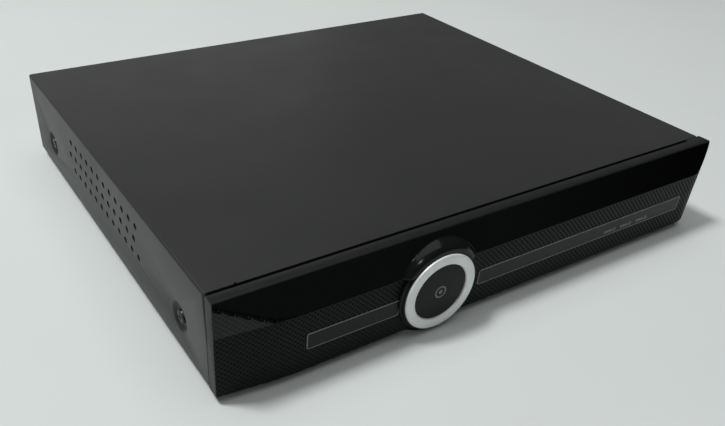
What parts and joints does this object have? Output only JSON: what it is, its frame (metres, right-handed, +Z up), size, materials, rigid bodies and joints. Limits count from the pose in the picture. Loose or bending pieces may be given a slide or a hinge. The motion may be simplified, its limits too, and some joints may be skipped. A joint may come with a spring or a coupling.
{
  "type": "dvr recorder",
  "caption": "Compact digital video recorder: matt black wrap-round steel cover, gloss and grained front bezel with a silver ring emblem, connectors at the rear.",
  "frame": {"origin": "under the middle of the whole recorder, on the surface its feet stand on", "axes": "+X to the right of the front, +Y to the back (the bezel faces -Y), +Z up"},
  "size_m": [0.26, 0.2358, 0.045],
  "materials": {
    "zinc_steel": "zinc plated sheet, satin",
    "black_powder_coat": "fine matt black powder coat",
    "bezel_plastic": "moulded ABS with a fine diamond grain on the lower wall",
    "gloss_black": "polished black",
    "satin_silver": "satin silver plating",
    "emblem_black": "satin black",
    "inlay_smoke": "satin smoked film with a thin silver outline",
    "light_pipe": "clear moulded",
    "foot_rubber": "matt black rubber",
    "black_screw": "black zinc",
    "nickel": "nickel plated",
    "rca_white": "white insulator with a nickel barrel",
    "rca_red": "red insulator with a nickel barrel",
    "black_plastic": "moulded black",
    "circuit_board": "green solder mask",
    "bare_aluminium": "as cast or extruded",
    "mirror_platter": "mirror polished",
    "ribbon_grey": "grey flat cable",
    "cable_red": "red flat cable"
  },
  "bodies": {
    "chassis": {"base_tray": "zinc_steel", "bnc_jack_1": "nickel", "bnc_jack_2": "nickel", "bnc_jack_3": "nickel", "bnc_jack_4": "nickel", "board_screw_1": "zinc_steel", "board_screw_2": "zinc_steel", "board_screw_3": "zinc_steel", "board_screw_4": "zinc_steel", "coin_cell": "nickel", "dc_jack": "black_plastic", "disk_board": "circuit_board", "disk_casting": "bare_aluminium", "disk_lid": "zinc_steel", "disk_magnet": "nickel", "disk_screw_1": "nickel", "disk_screw_2": "nickel", "disk_screw_3": "nickel", "disk_screw_4": "nickel", "emblem_disc": "emblem_black", "emblem_ring": "satin_silver", "fan_frame": "black_plastic", "foot_front_left": "foot_rubber", "foot_front_right": "foot_rubber", "foot_rear_left": "foot_rubber", "foot_rear_right": "foot_rubber", "front_bezel": "bezel_plastic", "gloss_fascia": "gloss_black", "ground_screw": "nickel", "hdmi_socket": "nickel", "heatsink": "bare_aluminium", "left_inlay": "inlay_smoke", "light_board": "circuit_board", "light_pipe_disk": "light_pipe", "light_pipe_network": "light_pipe", "light_pipe_power": "light_pipe", "light_ribbon": "ribbon_grey", "main_board": "circuit_board", "rca_audio_in": "rca_white", "rca_audio_out": "rca_red", "rear_screw_left": "black_screw", "rear_screw_right": "black_screw", "right_inlay": "inlay_smoke", "rj45_socket": "nickel", "sata_cable": "cable_red", "side_screw_front_left": "black_screw", "side_screw_front_right": "black_screw", "side_screw_rear_left": "black_screw", "side_screw_rear_right": "black_screw", "switch_housing": "black_plastic", "top_cover": "black_powder_coat", "usb_stack": "nickel", "vga_socket": "nickel"},
    "rocker": {"power_rocker": "black_plastic"},
    "fan_rotor": {"fan_rotor": "black_plastic"},
    "platters": {"disk_platters": "mirror_platter"},
    "actuator": {"disk_actuator": "bare_aluminium"}
  },
  "joints": [
    {"name": "power_rocker_tip", "type": "hinge", "parent": "chassis", "child": "rocker", "pos_m": [0.114, 0.10007, 0.024], "axis": [1, 0, 0], "range_deg": [-16, 0]},
    {"name": "fan_spin", "type": "hinge", "parent": "chassis", "child": "fan_rotor", "pos_m": [-0.103, 0.09767, 0.025], "axis": [0, 1, 0], "continuous": true},
    {"name": "disk_spindle_spin", "type": "hinge", "parent": "chassis", "child": "platters", "pos_m": [-0.058, -0.04763, 0.021], "axis": [0, 0, 1], "continuous": true},
    {"name": "disk_actuator_swing", "type": "hinge", "parent": "chassis", "child": "actuator", "pos_m": [0.006, -0.03243, 0.021], "axis": [0, 0, 1], "range_deg": [-33, 0]}
  ]
}
